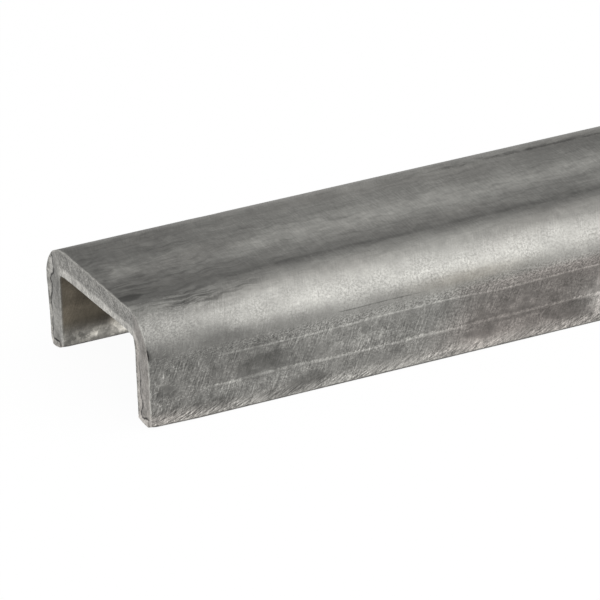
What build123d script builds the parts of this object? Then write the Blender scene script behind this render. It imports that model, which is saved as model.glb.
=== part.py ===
"""Steel C-channel, 1 x 1/2 x 1/8 inch, cut to one foot.

One length of strip, bent twice in the rolls, lying on its two flange toes with the web on top.
X runs along the channel, Y across the web and Z up. The origin is on the floor under the middle.
"""

import os

from build123d import *

# Sizes of the stock, in millimetres
LENGTH = 304.8
WEB_WIDTH = 25.4
FLANGE_HEIGHT = 12.7
WALL = 3.175

# The bends: the strip stretches there, so the outer radius is more than a wall over the inner one
INNER_BEND_RADIUS = 0.8
OUTER_BEND_RADIUS = 4.5

# The strip's own edges are rounded by the rolls, and the cut ends have their burr knocked off
TOE_EDGE_RADIUS = 0.4
END_EDGE_BREAK = 0.15

# Places on the section: half of it is drawn, from the middle of the web to the toe of one flange
OUTER_FACE = WEB_WIDTH / 2
INNER_FACE = OUTER_FACE - WALL
WEB_TOP = FLANGE_HEIGHT
WEB_UNDERSIDE = FLANGE_HEIGHT - WALL

with BuildPart() as c_channel:
    with BuildSketch(Plane.YZ.offset(-LENGTH / 2)) as section:
        with BuildLine() as outline:
            top = Line((0, WEB_TOP), (OUTER_FACE - OUTER_BEND_RADIUS, WEB_TOP))
            outer_bend = RadiusArc(
                top @ 1,
                (OUTER_FACE, WEB_TOP - OUTER_BEND_RADIUS),
                OUTER_BEND_RADIUS,
            )
            outside = Line(outer_bend @ 1, (OUTER_FACE, 0))
            toe = Line(outside @ 1, (INNER_FACE, 0))
            inside = Line(toe @ 1, (INNER_FACE, WEB_UNDERSIDE - INNER_BEND_RADIUS))
            inner_bend = RadiusArc(
                inside @ 1,
                (INNER_FACE - INNER_BEND_RADIUS, WEB_UNDERSIDE),
                -INNER_BEND_RADIUS,
            )
            Line(inner_bend @ 1, (0, WEB_UNDERSIDE))
            mirror(about=Plane.YZ)
        make_face()
        toe_corners = section.vertices().group_by(Axis.Y)[0]
        fillet(toe_corners, radius=TOE_EDGE_RADIUS)
    extrude(amount=LENGTH)

    # Both cut ends: every edge of the section is broken
    cut_ends = c_channel.faces().filter_by(Axis.X)
    chamfer(cut_ends.edges(), length=END_EDGE_BREAK)

c_channel.part.label = "c_channel"

os.makedirs("parts", exist_ok=True)
export_step(c_channel.part, "parts/c_channel.step")
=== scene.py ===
"""Steel C-channel in bare mill finish, lying on its flange toes.

One piece stands for the solid of the same name: the surface of a bent strip, worked out on grids,
with the rolled-in waves, the rubbed toes and the sheared ends. Lengths are millimetres until the
mesh is filled, with X along the channel, Y across the web and Z up.
"""

import math

import bpy
import numpy as np
from mathutils import Matrix, Vector


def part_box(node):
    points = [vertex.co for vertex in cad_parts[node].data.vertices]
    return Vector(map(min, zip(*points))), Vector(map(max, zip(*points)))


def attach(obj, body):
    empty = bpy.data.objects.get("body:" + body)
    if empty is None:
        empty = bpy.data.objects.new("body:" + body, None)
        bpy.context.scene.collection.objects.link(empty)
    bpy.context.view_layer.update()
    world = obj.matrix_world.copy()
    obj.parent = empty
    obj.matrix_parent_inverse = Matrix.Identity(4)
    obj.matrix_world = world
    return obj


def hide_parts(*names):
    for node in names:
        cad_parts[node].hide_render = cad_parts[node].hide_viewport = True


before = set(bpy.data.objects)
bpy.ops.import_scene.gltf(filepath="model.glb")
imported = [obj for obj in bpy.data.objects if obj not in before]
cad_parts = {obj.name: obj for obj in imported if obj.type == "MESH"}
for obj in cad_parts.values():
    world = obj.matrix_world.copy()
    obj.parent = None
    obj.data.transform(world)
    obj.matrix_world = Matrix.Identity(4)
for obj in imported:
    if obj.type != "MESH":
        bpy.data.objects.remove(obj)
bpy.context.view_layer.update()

MM = 0.001
NODE = "c_channel"

# The section: its outer sizes come from the frame, the rest are the strip's own
low, high = (np.array(corner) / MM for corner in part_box(NODE))
LENGTH, WIDTH, HEIGHT = high - low
WALL = 3.175
INNER_BEND = 0.8
OUTER_BEND = 4.5
TOE_EDGE = 0.4

# Places along the outer face of the section, from the floor up the front flange and over the web
FRONT_BEND_AT = HEIGHT - OUTER_BEND
WEB_AT = FRONT_BEND_AT + OUTER_BEND * math.pi / 2
BACK_BEND_AT = WEB_AT + WIDTH - 2 * OUTER_BEND
WEB_MIDDLE = (WEB_AT + BACK_BEND_AT) / 2

# The grid: columns along the strip's width, rows through its wall, stations along the channel
FLANGE_COLUMNS = 15
BEND_COLUMNS = 12
WEB_COLUMNS = 30
TOE_CORNER_ROWS = 4
WALL_SHARES = np.array([0, 0.03, 0.08, 0.16, 0.26, 0.38, 0.5, 0.62, 0.74, 0.84, 0.92, 0.97, 1])
END_STATIONS = np.array([0, 0.09, 0.2, 0.36, 0.6, 0.95, 1.4])
CLOSE_LENGTH = 76.0
CLOSE_STEP = 0.43
FAR_STEP = 0.82

# The flat maps: the gap between their areas, the room for a cut face beside the second map, and the
# places of the two cut faces past the end of the first
MAP_GAP = 1.5
MAP_MARGIN = 6.0
CUT_MAPS_AT = (400.0, 500.0)

# The rolled surface: long waves, a trough beside the front bend, two drawn lines on the front flange
# and small dents, which all fade out between two heights above the toes
WAVE_HEIGHT = 0.016
WAVE_SIZE = (70, 16)
TROUGH_AT = 18.4
TROUGH_HALF_WIDTH = 1.3
TROUGH_DEPTH = 0.03
LOWER_LINE_AT = 3.7
UPPER_LINE_AT = 7.3
LINE_HALF_WIDTH = 0.3
LINE_DEPTH = 0.012
DENT_SIZE = (9, 5)
DENT_LEVELS = (1.6, 2.6)
DENT_DEPTH = 0.02
RELIEF_HEIGHTS = (0.1, 1.2)

# The sheared end: a cut out of square and set back by a curve across the section, the strip that is
# torn where the blade leaves, the lip that stands out there and the roll of the edge where it enters
CUT_SLOPE_UP = -0.018
CUT_SLOPE_ACROSS = -0.019
CUT_PLACES = [-12.7, -11.2, -9.6, -8.2, 8.0, 9.6, 12.7]
CUT_SETBACK = [0.03, 0.02, 0.16, 0.36, 0.03, -0.06, 0.08]
WEB_LEAN = 0.2
WEB_LEAN_CHANGE = -0.02
LEAN_LOST = 0.9
CUT_REACH = 14.0
CUT_EDGE = 0.09
CUT_WAVES = 0.02
FAR_CUT_SHARE = 0.6
BLADE_WAY = np.array([0.8, -0.6])
BLADE_TURNS = (0.05, 0.45)
OTHER_SIDE = 4.0
TORN_WIDTH = 0.85
TORN_WIDTH_BACK = 0.3
TORN_WIDENING = 0.07
TORN_PINCH = 0.45
TORN_PINCH_AT = 7.9
TORN_DEPTH = 0.06
LIP = 0.12
LIP_AT_BEND = 0.2
LIP_UNDER_TOES = [0.14, 0.5]
EDGE_ROLL = 0.02
ROLL_REACH = 1.4
RIM_WIDTH = 0.18
TOE_LIFTS = [0.13, 0.02]
TOE_LIFT_REACH = 7.0
CORNER_LIFTS = [0.15, 0.1]
CORNER_LIFT_REACH = 0.9
BURR = 0.2
BURR_REACH = 0.7
FAR_BURR_SHARE = 0.4


def cloud(a, b, size_a, size_b, seed, waves=36):
    """Soft random field: a sum of plane waves with seeded directions, phases and lengths around
    size_a along a and size_b along b, scaled to a spread of about one."""
    rng = np.random.default_rng(seed)
    turn = rng.uniform(0, 2 * np.pi, waves)
    phase = rng.uniform(0, 2 * np.pi, waves)
    pitch = 2 ** rng.uniform(-0.8, 1.8, waves)
    weight = pitch ** -0.8
    total = 0
    for t, p, f, w in zip(turn, phase, pitch, weight):
        way = np.cos(t) * a / size_a + np.sin(t) * b / size_b
        total = total + w * np.cos(2 * np.pi * f * way + p)
    return total / np.sqrt((weight**2).sum() / 2)


def smooth(start, end, value):
    """Zero before start, one after end and a smooth rise between them."""
    t = np.clip((value - start) / (end - start), 0, 1)
    return t * t * (3 - 2 * t)


def fall(start, end, value):
    """One before start, zero after end and a smooth fall between them."""
    return 1 - smooth(start, end, value)


def end_fade(distance, reach):
    """One at the cut and zero a reach away from it."""
    return fall(0, reach, distance)


def bump_at(value, centre, width):
    """A bell of height one at centre that falls to about a third one width away."""
    return np.exp(-(((value - centre) / width) ** 2))


def strip_face(radius, inset):
    """One face of the bent strip as (y, z) points from the front toe over the web to the back toe:
    straight up the flange, a quarter circle of the radius, straight to the middle of the web, and
    the mirror image of these. Inset is the face's depth in the wall."""
    side = WIDTH / 2 - inset
    top = HEIGHT - inset
    rise = np.linspace(TOE_EDGE, top - radius, FLANGE_COLUMNS, endpoint=False)
    turn = np.linspace(0, np.pi / 2, BEND_COLUMNS, endpoint=False)
    across = np.linspace(radius - side, 0, WEB_COLUMNS // 2 + 1)
    y = np.concatenate([np.full_like(rise, -side), radius - side - radius * np.cos(turn), across])
    z = np.concatenate([rise, top - radius + radius * np.sin(turn), np.full_like(across, top)])
    return np.stack([np.concatenate([y, -y[-2::-1]]), np.concatenate([z, z[-2::-1]])], -1)


def toe_line(sign):
    """The toe's outline from the outer face to the inner one: a quarter circle, a flat on the floor
    and a second quarter circle."""
    turn = np.linspace(0, np.pi / 2, TOE_CORNER_ROWS + 1)
    flat_rows = len(WALL_SHARES) - 1 - 2 * TOE_CORNER_ROWS
    flat = np.linspace(TOE_EDGE, WALL - TOE_EDGE, flat_rows + 1)[1:-1]
    inward = TOE_EDGE * (1 - np.cos(turn))
    upward = TOE_EDGE * (1 - np.sin(turn))
    depth = np.concatenate([inward, flat, WALL - inward[::-1]])
    z = np.concatenate([upward, np.zeros_like(flat), upward[::-1]])
    return np.stack([sign * (WIDTH / 2 - depth), z], -1)


def wall_grid():
    """The section as a grid of (y, z) points: columns along the strip, rows from the outer face
    through the wall to the inner face, with the rounded toes as the first and last columns."""
    outer = strip_face(OUTER_BEND, 0)
    inner = strip_face(INNER_BEND, WALL)
    grid = outer[:, None] + (inner - outer)[:, None] * WALL_SHARES[None, :, None]
    grid[0] = toe_line(-1)
    grid[-1] = toe_line(1)
    return grid


def rim_order(columns, rows):
    """The grid places round the section's outline: along the outer face, through the back toe,
    back along the inner face and through the front toe."""
    j = np.arange(columns)
    k = np.arange(1, rows - 1)
    column = np.concatenate([j, np.full_like(k, columns - 1), j[::-1], np.zeros_like(k)])
    row = np.concatenate([np.zeros_like(j), k, np.full_like(j, rows - 1), k[::-1]])
    return column, row


def stations():
    """Distances from the near end: close together beside each cut, then even steps that are finer
    along the first stretch."""
    close = np.arange(END_STATIONS[-1], CLOSE_LENGTH, CLOSE_STEP)
    far = np.arange(CLOSE_LENGTH, LENGTH - END_STATIONS[-1], FAR_STEP)
    return np.concatenate([END_STATIONS[:-1], close, far, LENGTH - END_STATIONS[::-1]])


# Section outline, its running length from the floor and its outward normals
wall = wall_grid()
COLUMNS, ROWS = wall.shape[:2]
rim_column, rim_row = rim_order(COLUMNS, ROWS)
outline = wall[rim_column, rim_row]
RIM = len(outline)
steps = np.linalg.norm(np.roll(outline, -1, 0) - outline, axis=1)
run = TOE_EDGE + np.concatenate([[0], np.cumsum(steps)])
tangent = np.roll(outline, -1, 0) - np.roll(outline, 1, 0)
tangent /= np.linalg.norm(tangent, axis=1, keepdims=True)
normal = np.stack([-tangent[:, 1], tangent[:, 0]], -1)
along = stations()
INNER_START = COLUMNS + ROWS - 2
is_outer = np.arange(RIM) < COLUMNS
is_inner = (np.arange(RIM) >= INNER_START) & (np.arange(RIM) < INNER_START + COLUMNS)
GIRTH = run[-1] - run[0]
MAP_SIDE = 2 * GIRTH + 3 * MAP_GAP

# The surface as a grid: x from the near end, s along the outline from the floor at the front, how far
# that is from the web's middle and from the nearer toe, and the height above the floor
x = along[:, None]
s = run[None, :-1]
from_middle = np.abs(s - WEB_MIDDLE)
from_toe = WEB_MIDDLE - from_middle
height_at = outline[None, :, 1]
outer_mask = is_outer[None, :].astype(float)
inner_mask = is_inner[None, :].astype(float)

# One where the blade entered the outline and zero where it left
entry = fall(*BLADE_TURNS, normal @ BLADE_WAY)


def relief():
    """Distance by which the rolled surface departs from the plain section along its normal: long
    waves from the rolls, a shallow trough beside the front bend, two drawn lines on the front
    flange and small dents. It fades out on the toes, which stay on the floor."""
    waves = WAVE_HEIGHT * cloud(x, s, *WAVE_SIZE, seed=3)
    trough = -TROUGH_DEPTH * bump_at(s, TROUGH_AT, TROUGH_HALF_WIDTH) * outer_mask
    both = bump_at(s, LOWER_LINE_AT, LINE_HALF_WIDTH) + bump_at(s, UPPER_LINE_AT, LINE_HALF_WIDTH)
    lines = -LINE_DEPTH * both * outer_mask
    dents = -DENT_DEPTH * smooth(*DENT_LEVELS, cloud(x, s, *DENT_SIZE, seed=8))
    return (waves + trough + lines + dents) * smooth(*RELIEF_HEIGHTS, height_at)


def on_flange(y):
    """One on the flanges' part of the section and zero under the web."""
    return smooth(8.2, 9.8, np.abs(y))


def cut_shift(y, z):
    """How far the sheared end is moved along X at a place of the section: a plane a little out of
    square, a curve across the section, and under the web a lean that grows through the wall and
    is lost towards the front bend."""
    plane = CUT_SLOPE_UP * (z - HEIGHT / 2) + CUT_SLOPE_ACROSS * y
    depth = np.clip((HEIGHT - z) / WALL, 0, 1) * (1 - on_flange(y))
    lean = (WEB_LEAN + WEB_LEAN_CHANGE * y) * (1 - LEAN_LOST * smooth(5.5, 9.5, -y))
    return plane + np.interp(y, CUT_PLACES, CUT_SETBACK) + lean * depth


def edge_distance(places, other_side):
    """Distance from each place of the cut face to the nearest edge, with the edges of the other side
    counted as further away."""
    gap = np.linalg.norm(places[:, None] - outline[None], axis=-1)
    return (gap + OTHER_SIDE * other_side[None]).min(1)


def crack_share(y, z):
    """How far the crack shows: on the flanges, and lost towards the bends."""
    inner_corner = np.hypot(y - WIDTH / 2 + WALL, z - HEIGHT + WALL)
    lost = np.where(y < 0, smooth(5.5, 8.5, z), fall(1.0, 1.7, inner_corner))
    return on_flange(y) * (1 - 0.85 * lost)


def face_change(y, z):
    """How much lighter or darker than the rest a place of the cut face is: on the back flange lighter
    at the toe and darker above it, most on its inner side, and on the front flange lighter near
    its toe."""
    deep = smooth(0.8, 1.8, WIDTH / 2 - y)
    darker = 0.05 - 0.16 * smooth(3, 5, z) - 0.12 * deep * smooth(6, 8.5, z)
    back = smooth(8.4, 10.0, y) * darker * fall(8.5, 10.5, z)
    front = smooth(8.4, 10.0, -y) * 0.08 * fall(3, 6, z)
    return back + front


def lip_out(seed):
    """How far each place of the outline stands out from the cut where the blade left: uneven along
    the flanges, more at the back bend, most under the toes and none under the web."""
    y, z = outline.T
    uneven = np.clip(1 + 0.25 * cloud(run[:-1], 0 * run[:-1], 4, 1, seed), 0.2, 1.8)
    share = np.where(y < 0, 1.0, 0.4 + 0.6 * smooth(2, 7, z))
    flanges = LIP * uneven * smooth(-0.2, 0.6, z) * share
    bend = LIP_AT_BEND * bump_at(z, 11.9, 0.7) * (y > 9.5)
    under_toes = np.where(y < 0, LIP_UNDER_TOES[0], LIP_UNDER_TOES[1] * bump_at(y, 10.9, 1.2))
    toes = under_toes * smooth(0.3, 0.9, -normal[:, 1]) * (z < TOE_EDGE)
    return (flanges + toes) * (1 - entry) * on_flange(y) + bend * is_outer


def toe_lift(distance, y, z):
    """How far the toes stand up beside a cut, where the blade lifted them, fading up the flanges and
    with its own height for the front and the back toe."""
    toe = np.where(y < 0, *TOE_LIFTS) * end_fade(distance, TOE_LIFT_REACH)
    corner = np.where(y < 0, *CORNER_LIFTS) * end_fade(distance, CORNER_LIFT_REACH)
    return (toe + corner) * fall(0.3, 1.6, z)


def body_points():
    """The long surface: the outline carried along X, moved by the relief, the slant of each cut, the
    rolled or lipped edge and the burr that stands out beside it."""
    uneven = np.clip(1 + 0.6 * cloud(run[:-1], 0 * run[:-1], 5, 1, seed=21), 0.2, 2)
    bulge = bump_at(outline[:, 1], 8.0, 2.4) * (outline[:, 0] > 0) * is_outer
    burr = BURR * uneven * (1 - entry) * (0.12 + bulge)
    near, far = x, LENGTH - x
    beside_cuts = end_fade(near, BURR_REACH) + FAR_BURR_SHARE * end_fade(far, BURR_REACH)
    out = relief() + burr[None] * beside_cuts
    y = outline[None, :, 0] + out * normal[None, :, 0]
    lift = toe_lift(near, *outline.T) + toe_lift(far, *outline.T)
    z = np.maximum(height_at + out * normal[None, :, 1], 0) + lift
    slant = cut_shift(*outline.T)[None]
    edge_near = (EDGE_ROLL * entry - lip_out(22))[None]
    edge_far = (EDGE_ROLL * entry - lip_out(23))[None]
    px = x + slant * (end_fade(near, CUT_REACH) - FAR_CUT_SHARE * end_fade(far, CUT_REACH))
    px = px + edge_near * end_fade(near, ROLL_REACH) - edge_far * end_fade(far, ROLL_REACH)
    return np.stack([px, y, z], -1)


def cap_points(end):
    """The cut face's inner points: the wall grid set on the slanted cut, with a torn strip set
    back along the edges where the blade left and the shear's fine waves over the rest. Also gives
    the distance to the torn line, negative on the torn strip."""
    y, z = cut_places.T
    torn = edge_distance(cut_places, entry)
    pinch = TORN_PINCH * bump_at(z, TORN_PINCH_AT, 0.6)
    back_width = TORN_WIDTH_BACK + TORN_WIDENING * z - pinch
    width = TORN_WIDTH + (back_width - TORN_WIDTH) * smooth(8.4, 10.2, y)
    width = width * (1 + (0.08 + 0.2 * on_flange(y)) * cloud(y, z, 3.2, 3.2, seed=31 + end))
    groove = bump_at(torn, width, 0.22) + 0.4 * fall(width - 0.25, width, torn)
    depth = TORN_DEPTH * groove * on_flange(y)
    depth = depth + CUT_WAVES * cloud(y, z, 1.6, 1.6, seed=41 + end)
    slant = cut_shift(y, z)
    px = slant + depth if end == 0 else LENGTH - FAR_CUT_SHARE * slant - depth
    return np.column_stack([px, y, z + toe_lift(np.zeros(1), y, z)]), torn - width


def grid_faces():
    """Quads of the long surface, with the outline closed on itself, facing outwards."""
    i = np.arange(len(along) - 1)[:, None]
    j = np.arange(RIM)[None, :]
    after = (j + 1) % RIM
    corners = [i * RIM + j, (i + 1) * RIM + j, (i + 1) * RIM + after, i * RIM + after]
    return np.stack([np.broadcast_to(c, (len(along) - 1, RIM)) for c in corners], -1).reshape(-1, 4)


def wall_quads(index, flip):
    """Quads between neighbouring places of the wall grid, turned round for the far end."""
    corners = [index[:-1, :-1], index[1:, :-1], index[1:, 1:], index[:-1, 1:]]
    quads = np.stack(corners, -1).reshape(-1, 4)
    return quads[:, ::-1] if flip else quads


def cap_faces(station, first_inner, flip):
    """Quads of a cut face on the wall grid, sharing the outline's points with the long surface."""
    index = np.empty((COLUMNS, ROWS), int)
    index[rim_column, rim_row] = station * RIM + np.arange(RIM)
    index[1:-1, 1:-1] = first_inner + np.arange(CAP).reshape(COLUMNS - 2, ROWS - 2)
    return wall_quads(index, flip)


# Points and faces of the whole piece
cut_places = wall[1:-1, 1:-1].reshape(-1, 2)
body = body_points()
near_cap, near_torn = cap_points(0)
far_cap, far_torn = cap_points(1)
BODY = body.shape[0] * RIM
CAP = len(near_cap)
points = np.concatenate([body.reshape(-1, 3), near_cap, far_cap])
faces = np.concatenate([
    grid_faces(),
    cap_faces(0, BODY, False),
    cap_faces(len(along) - 1, BODY + CAP, True),
])


def flat_maps():
    """Two maps of the surface in millimetres, one value for each face corner. The first runs along
    X and round the outline, with the cut faces as they are. The second lays the two halves of the
    length above each other with the cut faces beside them."""
    i = np.arange(len(along) - 1)[:, None]
    j = np.arange(RIM)[None, :]
    shape = (len(along) - 1, RIM)
    u = np.stack([np.broadcast_to(along[a], shape) for a in (i, i + 1, i + 1, i)], -1)
    v = np.stack([np.broadcast_to(run[b], shape) for b in (j, j, j + 1, j + 1)], -1)
    second = np.broadcast_to((along[:-1] + along[1:] > LENGTH)[:, None, None], u.shape)
    laid_u = np.where(second, u - LENGTH / 2, u)
    laid_v = v - run[0] + np.where(second, GIRTH + MAP_GAP, 0)
    strips = [np.stack([u, v], -1).reshape(-1, 2)]
    laids = [np.stack([laid_u, laid_v], -1).reshape(-1, 2)]
    index = np.arange(COLUMNS * ROWS).reshape(COLUMNS, ROWS)
    beside = LENGTH / 2 + MAP_GAP + WIDTH / 2 + MAP_MARGIN
    for end, strip_at in enumerate(CUT_MAPS_AT):
        flat = wall.reshape(-1, 2)[wall_quads(index, end == 1)].reshape(-1, 2)
        strips.append(flat + np.array([strip_at, 0]))
        laids.append(flat + np.array([beside, MAP_GAP + end * (HEIGHT + MAP_GAP)]))
    return np.concatenate(strips), np.concatenate(laids)


# Dark soil and light rubs on the skin: place along X and along the outline, half length, half width
# and strength. The soil patch at 0.1, 9.2, on the front bend's foot at the near cut, paints the shadow
# of a nick.
SOIL_AND_NICK_SHADOW = [
    (2.2, 4.4, 1.8, 1.2, 1.4), (14.3, 5.0, 4.2, 1.6, 1.4), (13.2, 3.9, 1.6, 0.9, 1.6),
    (13.5, 7.5, 3.5, 0.9, 1.1), (9.0, 1.8, 4.0, 1.0, 0.9), (8.0, 3.6, 5.0, 0.8, 0.4),
    (16.5, 1.0, 4.0, 0.9, 1.1), (20.2, 1.8, 2.6, 1.0, 1.5), (31.5, 2.6, 2.2, 0.8, 1.0),
    (41.2, 2.4, 3.2, 0.9, 1.3), (44.5, 3.8, 7.5, 0.9, 1.4), (47.0, 4.8, 10.0, 1.3, 0.9),
    (51.5, 3.0, 3.4, 1.8, 1.5), (67.0, 4.8, 3.0, 1.3, 1.0), (0.1, 9.2, 0.45, 0.9, 1.4),
    (7.0, 9.4, 4.0, 0.9, 0.35), (1.2, 18.3, 1.6, 0.7, 2.2), (1.0, 25.0, 1.8, 1.3, 1.8),
    (20.4, 28.2, 1.3, 0.6, 0.8),
]
RUBS = [
    (58.3, 3.7, 3.5, 3.0, 2.1), (64.0, 2.2, 3.0, 1.2, 1.0), (26.0, 5.3, 3.8, 1.3, 1.1),
    (26.0, 2.8, 2.5, 0.8, 0.8), (36.5, 4.4, 3.0, 0.7, 0.4), (46.5, 3.4, 2.2, 0.4, 0.5),
]
# Soft lighter and darker shades, with the change in place of the strength. Those on the front
# bend's crown, from about 10 to 15 along the outline, shape its painted highlight; the others are
# stains and the skin's own grey
SHADES_AND_HIGHLIGHT = [
    (4.0, 0.6, 6.0, 0.7, 0.25), (43.0, 1.2, 8.0, 0.8, 0.2), (18.0, 9.2, 8.0, 1.6, -0.1),
    (54.0, 6.5, 3.0, 1.6, -0.15), (36.0, 11.2, 5.0, 1.0, 0.08), (46.0, 11.0, 12.0, 0.9, 0.08),
    (25.0, 12.9, 10.0, 1.5, 0.15), (46.0, 13.6, 10.0, 1.1, -0.14), (2.5, 14.6, 4.0, 1.8, 0.14),
    (15.0, 14.5, 6.0, 0.9, 0.28), (1.2, 18.4, 1.2, 0.6, -0.35), (12.0, 18.8, 5.0, 1.2, 0.25),
    (16.0, 21.4, 7.0, 0.8, -0.16), (53.0, 21.5, 3.0, 1.5, -0.18), (9.0, 29.5, 3.0, 1.2, 0.22),
    (64.0, 29.5, 7.0, 2.2, -0.2), (37.0, 30.8, 8.0, 1.5, 0.12), (21.0, 31.0, 8.0, 1.0, -0.16),
    (3.0, 31.5, 3.0, 0.9, -0.2), (4.5, 17.6, 5.0, 0.7, -0.15), (37.0, 32.6, 9.0, 1.0, 0.1),
    (25.0, 30.0, 5.0, 1.6, -0.1), (64.0, 26.0, 4.0, 2.0, -0.1), (35.0, 23.0, 9.0, 3.0, 0.05),
    (51.0, 8.0, 5.0, 0.6, 0.1), (44.0, 8.9, 3.0, 0.7, -0.12), (13.0, 8.0, 4.0, 1.2, -0.08),
    (13.3, 4.0, 1.8, 0.8, -0.2), (20.0, 1.0, 1.8, 0.9, -0.3), (50.5, 4.1, 4.0, 0.7, -0.2),
    (48.2, 2.4, 1.8, 0.7, -0.2), (0.8, 21.0, 1.2, 2.5, -0.15), (3.0, 2.0, 3.0, 0.8, -0.12),
    (8.8, 2.3, 1.8, 0.8, -0.2), (40.0, 24.0, 12.0, 5.0, 0.04), (53.0, 10.3, 2.5, 0.8, -0.12),
    (46.0, 6.8, 8.0, 0.7, -0.2), (60.0, 31.1, 9.0, 0.5, -0.2), (15.0, 31.0, 4.0, 1.2, -0.12),
    (18.5, 4.2, 1.2, 0.6, -0.25), (20.5, 27.7, 1.2, 0.7, -0.2), (16.0, 10.6, 3.0, 0.7, -0.08),
]
# Seeded patches: how many are drawn, the smallest and largest half length, half width and strength,
# and how far round the outline the photograph shows
SCATTERED = 70
SCATTERED_LEAST = (1.5, 0.5, 0.6)
SCATTERED_MOST = (8, 1.6, 1.1)
SHOWN_TO = BACK_BEND_AT + 2

# Grey of the outside as a factor on the steel's colour, and the bands round the outline that are
# lighter or darker: place, half width and change. The two on the front bend, at 10.4 and 14.6, are a
# rubbed bend with a painted highlight along its crown; the others are the skin's own grey
SKIN_TONE = 0.735
BANDS_AND_HIGHLIGHT = [
    (0.5, 0.8, 0.36),
    (5.9, 0.9, -0.05),
    (10.4, 1.8, 0.3),
    (14.6, 1.9, 0.46),
    (18.7, 1.4, -0.17),
    (24.7, 2.1, 0.34),
    (32.2, 1.8, 0.12),
    (32.7, 0.45, 0.05),
    (45.6, 1.2, 0.12),
]
# The darkening beside the near cut: everywhere, more on the bend and web, and the places there that
# have less of it: place, half width and the share lost
CUT_DARKENING = 0.13
CUT_DARKENING_ABOVE = 0.17
CUT_DARKENING_LOST = [(18, 2.2, 0.95), (23.3, 1.8, 0.7), (28.5, 1.5, 0.4)]
# The toes are darker to paint their shadow where they meet the floor
TOE_GREY_AND_SHADE = 0.5
# The inside's dark grey paints the shade inside the channel; its olive tint is its own colour
INSIDE_GREY_AND_SHADE = 0.32
INSIDE_RUB = 1.5
INSIDE_BESIDE_CUT = 0.14


def scattered(seed):
    """Patches where the photograph doesn't reach, at seeded places and longer than wide."""
    rng = np.random.default_rng(seed)
    places = rng.uniform((0, 0), (LENGTH, run[-1]), (SCATTERED, 2))
    sizes = rng.uniform(SCATTERED_LEAST, SCATTERED_MOST, (SCATTERED, 3))
    hidden = (places[:, 0] > CLOSE_LENGTH) | (places[:, 1] > SHOWN_TO)
    return list(np.column_stack([places, sizes])[hidden])


def patch_field(patches):
    """The strongest of the patches at each point: each has its strength in the middle and falls to
    zero with the distance from it, measured in its own half length and half width."""
    strongest = np.zeros((len(along), RIM))
    for at_x, at_s, half_x, half_s, strength in patches:
        far = np.hypot((x - at_x) / half_x, (s - at_s) / half_s)
        strongest = np.maximum(strongest, strength * fall(0, 1.6, far))
    return strongest


# In the fields below, x and s are compared with places in millimetres from the near end and along the
# outline, and the factors before them are strengths


def inside_grey_and_shade():
    """Grey of the inside: a dark grey that paints the shade inside the channel, rubbed light near the
    toes up to an uneven height, a little lighter beside the near cut and darkest at the very edge of
    the toes in a painted contact shadow."""
    uneven = height_at + 0.8 * end_fade(x, 5) + 0.5 * cloud(x, s, 5, 4, seed=71)
    near_toe = fall(1.2, 2.6, uneven) * (1 - 0.35 * end_fade(x, 4.5))
    beside_cut = INSIDE_BESIDE_CUT * end_fade(x, 4) * fall(6, 10.5, height_at)
    tone_and_painted_light = INSIDE_GREY_AND_SHADE + INSIDE_RUB * near_toe + beside_cut + 0.05 * cloud(x, s, 6, 3, seed=72)
    # Darkest at the toes' edge: painted contact shadow on the floor
    return tone_and_painted_light * (0.45 + 0.55 * smooth(0.35, 0.9, height_at))


def grey_and_painted_light_field():
    """Grey of the skin as a factor on the steel's colour, with painted light in it. Outside it is a sum
    of bands round the outline, with a painted highlight on the front bend's crown, darker at the toes'
    edge in a painted contact shadow, beside the near cut and on the front flange's stained stretch. The
    toes have one grey, darker to paint their shadow on the floor, and the inside its own, which paints
    the shade inside the channel. Clouds and, outside, soft shades multiply it; some shades shape the
    painted highlight."""
    drift = cloud(x, s, 26, 4, seed=51)
    wandering = s + 0.12 * cloud(x, 0 * x, 30, 1, seed=53)
    outside = SKIN_TONE + sum(change * bump_at(wandering, at, half) for at, half, change in BANDS_AND_HIGHLIGHT)
    # Darker at the toes' edge: painted contact shadow on the floor
    outside = outside * (0.6 + 0.4 * smooth(0.03, 0.2, height_at))
    lost = sum(share * bump_at(s, at, half) for at, half, share in CUT_DARKENING_LOST)
    above = smooth(8.5, 11, s) * fall(30, 33, s) * (1 - lost)
    beside_cut = 1 - (CUT_DARKENING + CUT_DARKENING_ABOVE * above) * fall(8, 21, x + 2.5 * drift)
    bend_foot = 1 - 0.25 * bump_at(s, 10.2, 2.2) * end_fade(x, 22)
    stained = 1 - 0.05 * fall(8, 9.2, s) * smooth(45, 50, x)
    outside = outside * (beside_cut * bend_foot * stained)
    tone_and_painted_light = np.where(is_outer[None], outside, np.where(is_inner[None], inside_grey_and_shade(), TOE_GREY_AND_SHADE))
    shades = sum(
        change * bump_at(x, at_x, half_x) * bump_at(s, at_s, half_s)
        for at_x, at_s, half_x, half_s, change in SHADES_AND_HIGHLIGHT
    )
    clouds = 1 + 0.045 * drift + 0.035 * cloud(x, s, 7, 3, seed=52) + shades * outer_mask
    return np.clip(tone_and_painted_light * clouds, 0.1, 2)


def warm_field():
    """Purple brown of the skin, from 0 to 1: the soiled stretch of the front flange, less on its
    light patch, and the foot of the walls, more beside the near cut; faint clouds elsewhere."""
    above_toe = 0.55 + 0.45 * smooth(0.8, 2.2, height_at)
    flange = 0.55 * fall(8.0, 9.2, s) * above_toe * smooth(33, 42, x)
    foot = (0.12 + 0.2 * end_fade(x, 16)) * fall(1, 2.5, height_at)
    stained = (flange + foot) * (1 - 0.7 * bump_at(x, 57, 4) * bump_at(s, 3.2, 2.5))
    stained = np.clip(stained + 0.05 * cloud(x, s, 40, 9, seed=81), 0, 1)
    return stained * (1 - inner_mask)


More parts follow.
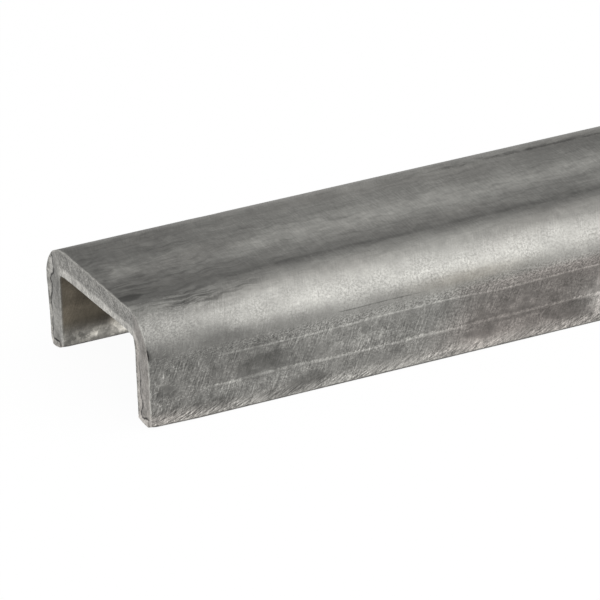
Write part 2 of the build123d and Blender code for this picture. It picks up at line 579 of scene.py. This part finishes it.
def olive_field():
    """Yellow brown of the skin, from 0 to 1: the inside, less at its foot, and a faint breath of it
    below the crown of the front bend; none at the cut edges."""
    inside = inner_mask * (0.2 + 0.8 * smooth(1.5, 3.6, height_at))
    breath = 0.28 * bump_at(x, 40, 7) * bump_at(s, 9.6, 0.8) * outer_mask
    return (inside + breath) * smooth(0, 0.3, x) * smooth(0, 0.3, LENGTH - x)


def grain_field():
    """Strength of the fine grain: weak on the flats, more on the flanges and most on the crown of the
    bends and on the toes; beside the near cut more on the front bend and less on the flange's foot
    and the flats."""
    flat = 0.14 * (1 - 0.5 * end_fade(x, 18))
    crown = 0.38 * bump_at(from_toe, 11.2, 1.8) * (0.75 + 0.25 * smooth(4, 18, x))
    flange = 0.5 * fall(7, 8, from_toe) + 0.1 * fall(1, 2, from_toe)
    bend_at_cut = 0.18 * bump_at(s, 14, 1.8) * end_fade(x, 11)
    foot_at_cut = -0.2 * fall(2, 3, s) * end_fade(x, 20)
    outside = flat + crown + flange + bend_at_cut + foot_at_cut
    return np.where(is_outer[None], outside, np.where(is_inner[None], 0.25, 0.6))


def speck_field():
    """Strength of the light and dark specks: in a rough band at the foot of each bend, which is wider
    further along, beside the lower drawn line of the flanges, and on the front bend at the cut."""
    wider = 0.25 * smooth(34, 44, x)
    foot = bump_at(from_toe, 7.95 + wider, 0.62 + wider) * (0.7 + 0.3 * smooth(3, 14, x))
    beside_line = 0.5 * bump_at(from_toe, 3.3, 0.55)
    beside_cut = 0.5 * bump_at(s, 11.8, 2.2) * end_fade(x, 12)
    return (foot + beside_line + beside_cut) * outer_mask


def nick_field():
    """Strength of the small light nicks: full on the front flange at the near cut, and less on the
    rest of the flanges."""
    beside_cut = end_fade(x, 13) * fall(8.5, 10.5, s)
    flanges = 0.42 * fall(7, 8.5, from_toe)
    return (beside_cut + flanges) * outer_mask


def toe_field():
    """Strength of the slanted grinding marks: on the toes and the foot of the outside, higher up and
    stronger beside the near cut."""
    reach = 1.3 + 0.9 * end_fade(x, 14)
    fading = fall(0, 1, (height_at - 0.8) / reach)
    return fading * (1 - inner_mask) * (0.56 + 0.3 * end_fade(x, 14))


def streak_field():
    """Strength of the fine dark streaks along the length: beside the front bend near the end, and
    weaker over the web and bends."""
    bend_edge = bump_at(s, 14.9, 1.4) * bump_at(x, 8, 6)
    web_at_cut = 0.5 * bump_at(s, 20.2, 1.0) * end_fade(x, 9)
    faint = (0.26 + 0.14 * end_fade(x, 30)) * smooth(13, 16, s) * fall(33, 36, s)
    return np.clip((0.9 * (bend_edge + web_at_cut) + faint) * outer_mask, 0, 1)


def brush_field():
    """Strength of the leaning brush marks: full on the flanges and faint on the bends, more towards
    the near cut and less under the thick soil of the front flange."""
    outside = 0.25 * smooth(5, 9, from_middle) + 0.75 * fall(7.2, 9, from_toe)
    under_soil = 1 - 0.55 * bump_at(x, 51, 6) * bump_at(s, 5.4, 1.8)
    outside = outside * (1 + 0.5 * end_fade(x, 30)) * under_soil
    return np.where(is_outer[None], outside, 0.3)


def comb_field():
    """Strength of the fine marks straight across the web: weak beside the near cut, then full."""
    return (0.2 + 0.5 * smooth(10, 24, x)) * fall(5, 9, from_middle) * outer_mask


def smear_field():
    """Strength of the dark smears along the length: at the back edge of the web further along, where
    the front bend meets the web near the cut, on the web at the cut, and faint over the web."""
    back_edge = bump_at(s, 31.3, 0.42) * smooth(42, 48, x)
    bend_edge = 1.2 * bump_at(s, 15.2, 1.5) * bump_at(x, 8, 6)
    web_at_cut = 0.3 * bump_at(s, 21.5, 4) * end_fade(x, 17)
    web = 0.22 * bump_at(s, WEB_MIDDLE, 7)
    return (back_edge + bend_edge + web_at_cut + web) * outer_mask


def blotch_field():
    """Strength of the pale blotches with clear edges: on the inside just above the toes."""
    return inner_mask * bump_at(height_at, 1.0, 0.75)


def mottle_field():
    """Strength of the mottling: full on the flanges and toes, less on the bends and web, and more
    beside the near cut; on the inside most near the toes."""
    outside = 0.4 + 0.6 * fall(6.5, 9.5, from_toe)
    web_at_cut = 0.35 * smooth(19, 23, s) * fall(33, 36, s) * end_fade(x, 24)
    bend_at_cut = 0.4 * bump_at(s, 13, 2.4) * end_fade(x, 14)
    flange_at_cut = 0.3 * fall(8, 10, s) * end_fade(x, 22)
    outside = outside + web_at_cut + bend_at_cut + flange_at_cut
    return np.where(is_inner[None], 0.7 + 1.1 * fall(1.4, 3.2, height_at), outside)


def fill_mesh(name):
    """The piece's mesh: points and quads in metres, and its two maps."""
    mesh = bpy.data.meshes.new(name)
    place = (points + np.array([low[0], 0, low[2]])) * MM
    mesh.vertices.add(len(place))
    mesh.vertices.foreach_set("co", place.astype(np.float32).ravel())
    mesh.loops.add(faces.size)
    mesh.loops.foreach_set("vertex_index", faces.astype(np.int32).ravel())
    mesh.polygons.add(len(faces))
    mesh.polygons.foreach_set("loop_start", np.arange(0, faces.size, 4, dtype=np.int32))
    mesh.update(calc_edges=True)
    mesh.polygons.foreach_set("use_smooth", np.ones(len(faces), bool))
    strip_map, laid_map = flat_maps()
    for label, coordinates in (("strip", strip_map), ("OFBake", laid_map / MAP_SIDE)):
        layer = mesh.uv_layers.new(name=label)
        layer.uv.foreach_set("vector", coordinates.astype(np.float32).ravel())
    mesh.validate()
    return mesh


def put_field(mesh, name, on_body, on_near, on_far=None):
    """A number for each point, read by the finish: one array for the long surface and one for each
    cut face, where the far face takes the near one's unless it has its own."""
    whole = np.concatenate([
        np.broadcast_to(on_body, (len(along), RIM)).ravel(),
        np.broadcast_to(on_near, CAP),
        np.broadcast_to(on_near if on_far is None else on_far, CAP),
    ])
    field = mesh.attributes.new(name, "FLOAT", "POINT")
    field.data.foreach_set("value", whole.astype(np.float32))


def rim_burnish_and_highlight_fields():
    """Strength of the bright band round a cut where the blade entered, on the long surface and on the
    cut
    face: burnished metal with a painted highlight of the rolled edge, a thin band at the edge, weaker
    on the front bend and on the inside of the back flange, and dark at the front bend's foot, where it
    paints the shadow of a nick."""
    place = run[:-1]
    # The dip at 9.2 paints the shadow of a nick at the front bend's foot
    share = entry * (1 - 0.7 * bump_at(place, 12.5, 3.5) - 1.9 * bump_at(place, 9.2, 0.7))
    share = share * (1 - 0.6 * is_inner * (outline[:, 0] > 9))
    on_body = (end_fade(x, RIM_WIDTH) + end_fade(LENGTH - x, RIM_WIDTH)) * share[None]
    y, z = cut_places.T
    on_face = end_fade(edge_distance(cut_places, 1 - entry), RIM_WIDTH)
    return on_body, on_face * (1 - 0.6 * smooth(8.4, 9.4, y) * (z < 9.3))


def new_object(name, data):
    """An object of the scene with that data, at the origin."""
    item = bpy.data.objects.new(name, data)
    bpy.context.scene.collection.objects.link(item)
    return item


channel_mesh = fill_mesh("c_channel_skin")
channel = new_object("c_channel_skin", channel_mesh)

# Each field's numbers on the long surface and on the cut faces
at_cut = end_fade(x, CUT_EDGE) + end_fade(LENGTH - x, CUT_EDGE)
face_flange = on_flange(cut_places[:, 0])
face_warm = 0.08 + 0.3 * face_flange * (cut_places[:, 0] < 0)
FIELDS = {
    "tone_and_painted_light": (grey_and_painted_light_field(), 1.0),
    "soil_and_nick_shadow": (patch_field(SOIL_AND_NICK_SHADOW + scattered(17)), 0.0),
    "rub": (patch_field(RUBS + scattered(18)[::3]), 0.0),
    "warm": (warm_field(), face_warm),
    "olive": (olive_field(), 0.0),
    "mottled": (mottle_field(), 1.0),
    "grain": (grain_field(), 0.5),
    "smear": (smear_field(), 0.0),
    "streak": (streak_field(), 0.0),
    "brushed": (brush_field(), 0.0),
    "combed": (comb_field(), 0.0),
    "toe": (toe_field(), 0.0),
    "nick": (nick_field(), 0.0),
    "cut": (at_cut, 1.0),
    "torn": (OTHER_SIDE * entry - TORN_WIDTH, near_torn, far_torn),
    "flange": (on_flange(outline[:, 0]), face_flange),
    "cracked": (crack_share(*outline.T), crack_share(*cut_places.T)),
    "face": (face_change(*outline.T), face_change(*cut_places.T)),
    "specks": (speck_field(), 0.0),
    "rim_burnish_and_highlight": rim_burnish_and_highlight_fields(),
    "blotch": (blotch_field(), 0.0),
}
for field_name, numbers in FIELDS.items():
    put_field(channel_mesh, field_name, *numbers)


class Nodes:
    """Short ways to add the nodes of one material or world."""

    def __init__(self, owner):
        owner.use_nodes = True
        self.tree = owner.node_tree
        self.tree.nodes.clear()

    def add(self, kind, **settings):
        """A new node of the kind with its settings."""
        node = self.tree.nodes.new(kind)
        for name, value in settings.items():
            setattr(node, name, value)
        return node

    def feed(self, socket, value):
        """Links an output to the socket, or sets a plain number or colour on it."""
        if isinstance(value, bpy.types.NodeSocket):
            self.tree.links.new(value, socket)
        else:
            socket.default_value = value

    def math(self, operation, a, b=0.0):
        """The result of the operation on two numbers."""
        node = self.add("ShaderNodeMath", operation=operation)
        self.feed(node.inputs[0], a)
        self.feed(node.inputs[1], b)
        return node.outputs[0]

    def product(self, first, *others):
        """All the values multiplied."""
        for other in others:
            first = self.math("MULTIPLY", first, other)
        return first

    def total(self, first, *others):
        """All the values added."""
        for other in others:
            first = self.math("ADD", first, other)
        return first

    def field(self, name):
        """The mesh's own number of that name."""
        return self.add("ShaderNodeAttribute", attribute_name=name).outputs["Fac"]

    def noise(self, vector, scale, detail=2.0, roughness=0.5):
        """Cloudy noise from 0 to 1."""
        node = self.add("ShaderNodeTexNoise")
        self.feed(node.inputs["Vector"], vector)
        node.inputs["Scale"].default_value = scale
        node.inputs["Detail"].default_value = detail
        node.inputs["Roughness"].default_value = roughness
        return node.outputs["Fac"]

    def stretched(self, vector, angle, length, width):
        """Coordinates in which a pattern has that length along a line at the angle and that width."""
        node = self.add("ShaderNodeMapping", vector_type="TEXTURE")
        self.feed(node.inputs["Vector"], vector)
        node.inputs["Rotation"].default_value = (0, 0, math.radians(angle))
        node.inputs["Scale"].default_value = (length, width, 1)
        return node.outputs["Vector"]

    def warped(self, vector, scale, reach):
        """The coordinates pushed about by a soft noise, by up to about the reach each way."""
        push = self.add("ShaderNodeTexNoise")
        self.feed(push.inputs["Vector"], vector)
        push.inputs["Scale"].default_value = scale
        centred = self.add("ShaderNodeVectorMath", operation="SUBTRACT")
        self.feed(centred.inputs[0], push.outputs["Color"])
        centred.inputs[1].default_value = (0.5, 0.5, 0.5)
        moved = self.add("ShaderNodeVectorMath", operation="MULTIPLY_ADD")
        self.feed(moved.inputs[0], centred.outputs[0])
        moved.inputs[1].default_value = (2 * reach, 2 * reach, 0)
        self.feed(moved.inputs[2], vector)
        return moved.outputs[0]

    def ramp(self, value, start, end, first=0.0, last=1.0):
        """Smooth change from first to last as the value goes from start to end."""
        node = self.add("ShaderNodeMapRange", interpolation_type="SMOOTHSTEP")
        self.feed(node.inputs["Value"], value)
        for name, number in zip(("From Min", "From Max", "To Min", "To Max"), (start, end, first, last)):
            node.inputs[name].default_value = number
        return node.outputs["Result"]

    def marks(self, vector, angle, size, detail, roughness, levels, shades=(0.0, 1.0)):
        """Noise stretched to the length and width along a line at the angle, with its range between
        the two levels spread from the first shade to the last."""
        spread = self.noise(self.stretched(vector, angle, *size), 1.0, detail, roughness)
        return self.ramp(spread, *levels, *shades)

    def centred(self, value, amount):
        """A texture value from 0 to 1 as a number about zero, with the amount as its whole range."""
        return self.product(self.math("SUBTRACT", value, 0.5), amount)

    def swing(self, value, amount):
        """A texture value from 0 to 1 as a factor about one, with the amount as its swing each way."""
        return self.total(self.product(self.centred(value, 2.0), amount), 1.0)

    def lighter(self, value, amount):
        """A factor of one plus the amount where the value is one, or darker for a negative amount."""
        return self.total(1.0, self.product(value, amount))

    def blend(self, share, a, b):
        """A number between a and b by the share of b."""
        node = self.add("ShaderNodeMix", data_type="FLOAT")
        for socket, value in zip(node.inputs[:1] + node.inputs[2:4], (share, a, b)):
            self.feed(socket, value)
        return node.outputs[0]

    def tint(self, share, a, b):
        """A colour between a and b by the share of b."""
        node = self.add("ShaderNodeMix", data_type="RGBA")
        for socket, value in zip(node.inputs[:1] + node.inputs[6:8], (share, a, b)):
            self.feed(socket, value)
        return node.outputs[2]


# The steel's colours, and how strongly each kind of mark changes its grey or raises it
STEEL = (0.376, 0.371, 0.349, 1)
BROWN_STEEL = (0.375, 0.33, 0.305, 1)
OLIVE_STEEL = (0.385, 0.336, 0.262, 1)
SOIL_SHADE = 0.66
RUB_SHADE = 2.0
MOTTLE = 0.21
GRAIN = 0.5
BRUSH = 0.28
COMB = 0.15
HAZE = 0.12
GRIND = 0.76
STREAK = 0.62
SMEAR = 0.5
BLOTCH = 0.6
SCRATCH = 0.3
# Bright band at the entered edges: burnished metal with a painted highlight of the rolled edge
RIM_BURNISH_AND_HIGHLIGHT = 0.9
BUMP_DEPTH = 0.012
BRUSH_BUMP = 0.4
GRIND_BUMP = 0.6
CRACK_BUMP = 2.0
ROUGHNESS = 0.46
HAZE_ROUGHNESS = 0.18

# Grey of the cut face under the web, on the flanges and on the torn strip, the shade of the whole
# face, and the share of it that the crack takes away
FACE_WEB = 0.78
FACE_FLANGE = 0.84
FACE_TORN = 1.34
FACE_SHADE = 1.02
CRACK_SHADE = 0.85

# Lines drawn along the strip: place along the outline, half width, strength, the noise level below
# which the line is gone, and the stretch of the length
DRAWN_LINES = [
    (LOWER_LINE_AT, 0.13, 0.6, 0.34, 6, 300),
    (UPPER_LINE_AT, 0.09, 0.6, 0.35, 8, 300),
    (9.05, 0.048, -0.48, 0.41, 21, 35),
    (18.45, 0.3, -0.18, 0.38, 12, 300),
    (14.3, 0.3, -0.3, 0.36, 1, 11),
    (41.4, 0.085, 0.36, 0.43, 0, 305),
    (31.2, 0.2, -0.5, 0.47, 45, 110),
    (16.8, 0.3, -0.28, 0.36, -3, 11),
]
LINE_FADE = 3.0


def drawn_line(n, textures, at, half_width, strength, gone, start, end):
    """A line along the length that wavers about its place, has ragged sides, comes and goes, and
    fades at the ends of its stretch."""
    ragged = n.centred(textures["grain"], half_width * 1.6)
    line = n.total(at, n.total(textures["waver"], ragged))
    apart = n.math("ABSOLUTE", n.math("SUBTRACT", textures["s"], line))
    there = n.ramp(apart, half_width * 2.0, half_width * 0.3)
    coming = n.ramp(textures["coming"], gone - 0.08, gone + 0.16)
    begun = n.ramp(textures["x"], start, start + LINE_FADE)
    unended = n.ramp(textures["x"], end, end - LINE_FADE)
    return n.product(n.product(there, coming), n.product(begun, unended), strength)


def skin_shade(n, place, textures):
    """Grey of the skin: the grey with its painted highlight and shade, times dark dirt patches with one
    painted nick shadow, light rubs, a factor for each kind of mark, and one plus the drawn lines. Soil
    hides part of the grain, the brush marks and the scratches."""
    cover = n.noise(n.stretched(place, 4, 5.0, 2.2), 1.0, 6.0, 0.66)
    soiled = n.total(cover, n.product(n.field("soil_and_nick_shadow"), 0.3))
    soil_and_nick_shadow = n.ramp(soiled, 0.6, 0.82, 1.0, SOIL_SHADE)
    rubbed = n.total(n.math("SUBTRACT", 1.0, cover), n.product(n.field("rub"), 0.3))
    rub = n.ramp(rubbed, 0.6, 1.05, 1.0, RUB_SHADE)
    patchy = n.ramp(n.noise(place, 0.33, 3.0, 0.6), 0.35, 0.62, 0.3, 1.0)
    grain_patchy = n.ramp(patchy, 0.3, 1.0, 0.55, 1.1)
    grind_patchy = n.ramp(patchy, 0.3, 1.0, 0.6, 1.0)
    clean = n.ramp(soil_and_nick_shadow, SOIL_SHADE, 1.0, 0.4, 1.0)
    grain_amount = n.product(n.field("grain"), grain_patchy, clean)
    brush_amount = n.product(n.field("brushed"), patchy, clean)
    grind_amount = n.product(n.field("toe"), grind_patchy)
    shade = n.product(
        n.field("tone_and_painted_light"),
        soil_and_nick_shadow,
        rub,
        n.swing(textures["mottle"], n.product(n.field("mottled"), MOTTLE)),
        n.swing(textures["grain"], n.product(grain_amount, GRAIN)),
        n.swing(textures["brush"], n.product(brush_amount, BRUSH)),
        n.swing(textures["comb"], n.product(n.field("combed"), COMB)),
        n.swing(textures["haze"], HAZE),
        n.swing(textures["grind"], n.product(grind_amount, GRIND)),
        n.lighter(textures["specks"], n.field("specks")),
        n.lighter(textures["nick"], n.field("nick")),
        n.lighter(n.product(textures["streak"], n.field("streak")), -STREAK),
        n.lighter(n.product(textures["smear"], n.field("smear")), -SMEAR),
        n.lighter(n.product(textures["blotch"], n.field("blotch")), BLOTCH),
        n.lighter(n.product(textures["scratch"], brush_amount), SCRATCH),
    )
    lines = n.total(1.0, *(drawn_line(n, textures, *line) for line in DRAWN_LINES))
    return n.product(shade, lines)


def cut_shades(n, place, textures, crack):
    """Grey of the sheared faces: speckled and darker where the blade entered the web, smoother on the
    flanges, light on the torn strip, with the dark line between the strip and the rest."""
    on_flanges = n.field("flange")
    shear = n.marks(place, 75, (0.9, 0.14), 2.0, 0.6, (0.3, 0.7))
    entered = n.blend(on_flanges, FACE_WEB, FACE_FLANGE)
    torn_away = n.ramp(n.field("torn"), 0.35, -0.05)
    strip = n.product(n.blend(torn_away, entered, FACE_TORN), n.total(1.0, n.field("face")))
    speckle = n.blend(n.math("MAXIMUM", on_flanges, torn_away), 0.42, 0.2)
    shade = n.product(
        n.swing(textures["mottle"], 0.3),
        n.swing(shear, 0.3),
        n.swing(textures["grain"], speckle),
        strip,
    )
    whole = n.math("SUBTRACT", FACE_SHADE, n.product(crack, FACE_SHADE * CRACK_SHADE))
    return n.product(shade, whole)


def steel_textures(n, place):
    """The patterns of the finish on the strip's own map: its two coordinates, the waver of the drawn
    lines and where they come and go, and noises stretched into each kind of mark."""
    split = n.add("ShaderNodeSeparateXYZ")
    n.feed(split.inputs[0], place)
    warped = n.warped(place, 0.35, 1.1)
    flat_nick = n.marks(warped, 12, (0.8, 0.16), 1.0, 0.5, (0.58, 0.74), (-0.06, 0.5))
    upright_nick = n.marks(place, 88, (1.5, 0.15), 1.0, 0.5, (0.62, 0.75), (-0.06, 0.7))
    return {
        "x": split.outputs[0],
        "s": split.outputs[1],
        "waver": n.centred(n.noise(n.stretched(place, 0, 16, 5), 1.0), 0.8),
        "coming": n.noise(n.stretched(place, 0, 3.0, 9), 1.0, 3.0, 0.65),
        "mottle": n.marks(place, 80, (1.9, 1.5), 6.0, 0.7, (0.28, 0.72)),
        "grain": n.ramp(n.noise(place, 3.5, 2.0, 0.9), 0.3, 0.7),
        "specks": n.marks(place, 14, (0.3, 0.19), 3.0, 0.9, (0.34, 0.68), (-0.58, 0.84)),
        "brush": n.marks(place, 68, (1.8, 0.17), 2.0, 0.6, (0.3, 0.7)),
        "comb": n.marks(place, 92, (1.8, 0.17), 2.0, 0.6, (0.3, 0.7)),
        "grind": n.marks(place, 27, (1.5, 0.16), 1.0, 0.5, (0.35, 0.66)),
        "streak": n.marks(warped, 3, (5.0, 0.62), 3.0, 0.6, (0.42, 0.72)),
        "smear": n.marks(warped, 2, (3.0, 0.8), 3.0, 0.6, (0.43, 0.66), (-0.3, 0.9)),
        "blotch": n.ramp(n.noise(place, 0.8, 4.0, 0.6), 0.49, 0.55, -0.25, 1.0),
        "scratch": n.marks(place, 78, (5.0, 0.12), 1.0, 0.5, (0.66, 0.74)),
        "nick": n.math("MAXIMUM", flat_nick, upright_nick),
        "haze": n.noise(n.stretched(place, 96, 2.6, 1.1), 1.0, 3.0, 0.6),
    }


def steel_finish():
    """Bare steel: grey metal whose colour is a grey for the skin or the cut faces times a tint that
    goes to brown or olive, with uneven roughness and the same textures as fine bumps."""
    material = bpy.data.materials.new("mill_steel")
    n = Nodes(material)
    place = n.add("ShaderNodeUVMap", uv_map="strip").outputs["UV"]
    textures = steel_textures(n, place)

    crack_waver = n.centred(n.noise(place, 1.6), 0.24)
    crack_gap = n.math("ABSOLUTE", n.total(n.field("torn"), crack_waver))
    crack = n.product(n.ramp(crack_gap, 0.24, 0.05), n.field("cracked"))
    skin = skin_shade(n, place, textures)
    shade = n.blend(n.field("cut"), skin, cut_shades(n, place, textures, crack))
    # The bright band at the entered edges, in patches: burnish with a painted highlight, and a painted
    # nick shadow at the front bend's foot
    rim_patches = n.ramp(n.noise(place, 1.1), 0.3, 0.6, 0.25, 1.0)
    shade = n.total(shade, n.product(n.field("rim_burnish_and_highlight"), rim_patches, RIM_BURNISH_AND_HIGHLIGHT))

    tint = n.tint(n.field("warm"), STEEL, BROWN_STEEL)
    tint = n.tint(n.field("olive"), tint, OLIVE_STEEL)
    colour = n.add("ShaderNodeVectorMath", operation="SCALE")
    n.feed(colour.inputs[0], tint)
    n.feed(colour.inputs["Scale"], shade)

    height = n.total(
        n.product(textures["grain"], n.field("grain")),
        n.product(textures["brush"], n.field("brushed"), BRUSH_BUMP),
        n.product(textures["grind"], n.field("toe"), GRIND_BUMP),
        n.product(crack, n.field("cut"), -CRACK_BUMP),
    )
    bumps = n.add("ShaderNodeBump")
    bumps.inputs["Strength"].default_value = 1.0
    bumps.inputs["Distance"].default_value = BUMP_DEPTH * MM
    n.feed(bumps.inputs["Height"], height)

    surface = n.add("ShaderNodeBsdfPrincipled")
    surface.inputs["Metallic"].default_value = 1.0
    n.feed(surface.inputs["Base Color"], colour.outputs[0])
    n.feed(surface.inputs["Roughness"], n.total(ROUGHNESS, n.product(textures["haze"], HAZE_ROUGHNESS)))
    n.feed(surface.inputs["Normal"], bumps.outputs[0])
    n.feed(n.add("ShaderNodeOutputMaterial").inputs["Surface"], surface.outputs[0])
    return material


channel_mesh.materials.append(steel_finish())
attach(channel, "root")
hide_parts(NODE)

# The stage: a pale floor that keeps the shadow, a grey room and one large soft lamp above the front,
# in metres and watts
FLOOR_SIZE = 24.0
FLOOR_COLOUR = (0.86, 0.86, 0.86, 1)
FLOOR_GLOW_SHARE = 0.96
ROOM_GREY = 0.55
LAMP_WAY = Vector((0.15, -0.52, 0.84))
LAMP_DISTANCE = 0.95
LAMP_SIZE = (1.7, 1.25)
LAMP_POWER = 13.0


def pale_floor():
    """A large sheet at the toes' height, white to the eye and in the metal, a little darker where
    the channel shades it."""
    mesh = bpy.data.meshes.new("floor")
    half = FLOOR_SIZE / 2
    level = low[2] * MM
    sides = ((-half, -half), (half, -half), (half, half), (-half, half))
    mesh.from_pydata([(across, deep, level) for across, deep in sides], [], [(0, 1, 2, 3)])
    material = bpy.data.materials.new("floor")
    n = Nodes(material)
    matte = n.add("ShaderNodeBsdfDiffuse")
    matte.inputs["Color"].default_value = FLOOR_COLOUR
    glow = n.add("ShaderNodeEmission")
    rays = n.add("ShaderNodeLightPath")
    seen = n.math("MAXIMUM", rays.outputs["Is Camera Ray"], rays.outputs["Is Glossy Ray"])
    seen = n.math("MAXIMUM", seen, rays.outputs["Is Transmission Ray"])
    mix = n.add("ShaderNodeMixShader")
    n.feed(mix.inputs[0], n.product(seen, FLOOR_GLOW_SHARE))
    n.feed(mix.inputs[1], matte.outputs[0])
    n.feed(mix.inputs[2], glow.outputs[0])
    n.feed(n.add("ShaderNodeOutputMaterial").inputs["Surface"], mix.outputs[0])
    mesh.materials.append(material)
    floor = new_object("floor", mesh)


def grey_room():
    """An even grey all round."""
    world = bpy.data.worlds.new("room")
    n = Nodes(world)
    back = n.add("ShaderNodeBackground")
    back.inputs["Color"].default_value = (ROOM_GREY, ROOM_GREY, ROOM_GREY, 1)
    n.feed(n.add("ShaderNodeOutputWorld").inputs["Surface"], back.outputs[0])
    bpy.context.scene.world = world


def soft_lamp():
    """A wide panel above the front that faces the channel."""
    data = bpy.data.lights.new("soft_lamp", "AREA")
    data.shape = "RECTANGLE"
    data.size, data.size_y = LAMP_SIZE
    data.energy = LAMP_POWER
    lamp = new_object("soft_lamp", data)
    lamp.location = LAMP_WAY.normalized() * LAMP_DISTANCE
    lamp.rotation_euler = LAMP_WAY.to_track_quat("Z", "Y").to_euler()


# The photograph's view: a long lens looking at the near end from the front left and above, with its
# angles in degrees, its aim from the near end and its far limit in metres
VIEW_AZIMUTH = 26.085
VIEW_ELEVATION = 26.815
VIEW_ROLL = 0.785
VIEW_LENS = 342.77
VIEW_AIM = (24.948, 0.0, 4.553)
VIEW_DISTANCE = 641.94
VIEW_LIMIT = 100


def photo_camera():
    """Axes from azimuth and elevation, turned about the line of sight by the roll, at a distance
    from a point measured from the near end."""
    a, e, r = (math.radians(v) for v in (VIEW_AZIMUTH, VIEW_ELEVATION, VIEW_ROLL))
    right = Vector((math.cos(a), -math.sin(a), 0))
    back = Vector((-math.sin(a) * math.cos(e), -math.cos(a) * math.cos(e), math.sin(e)))
    up = back.cross(right)
    rolled_right = right * math.cos(r) - up * math.sin(r)
    rolled_up = right * math.sin(r) + up * math.cos(r)
    data = bpy.data.cameras.new("camera")
    data.lens = VIEW_LENS
    data.clip_end = VIEW_LIMIT
    camera = new_object("camera", data)
    aim = Vector((low[0] + VIEW_AIM[0], VIEW_AIM[1], low[2] + VIEW_AIM[2])) * MM
    turn = Matrix((rolled_right, rolled_up, back)).transposed().to_4x4()
    camera.matrix_world = Matrix.Translation(aim + back * VIEW_DISTANCE * MM) @ turn
    bpy.context.scene.camera = camera


pale_floor()
grey_room()
soft_lamp()
photo_camera()
bpy.context.scene.view_settings.view_transform = "Standard"
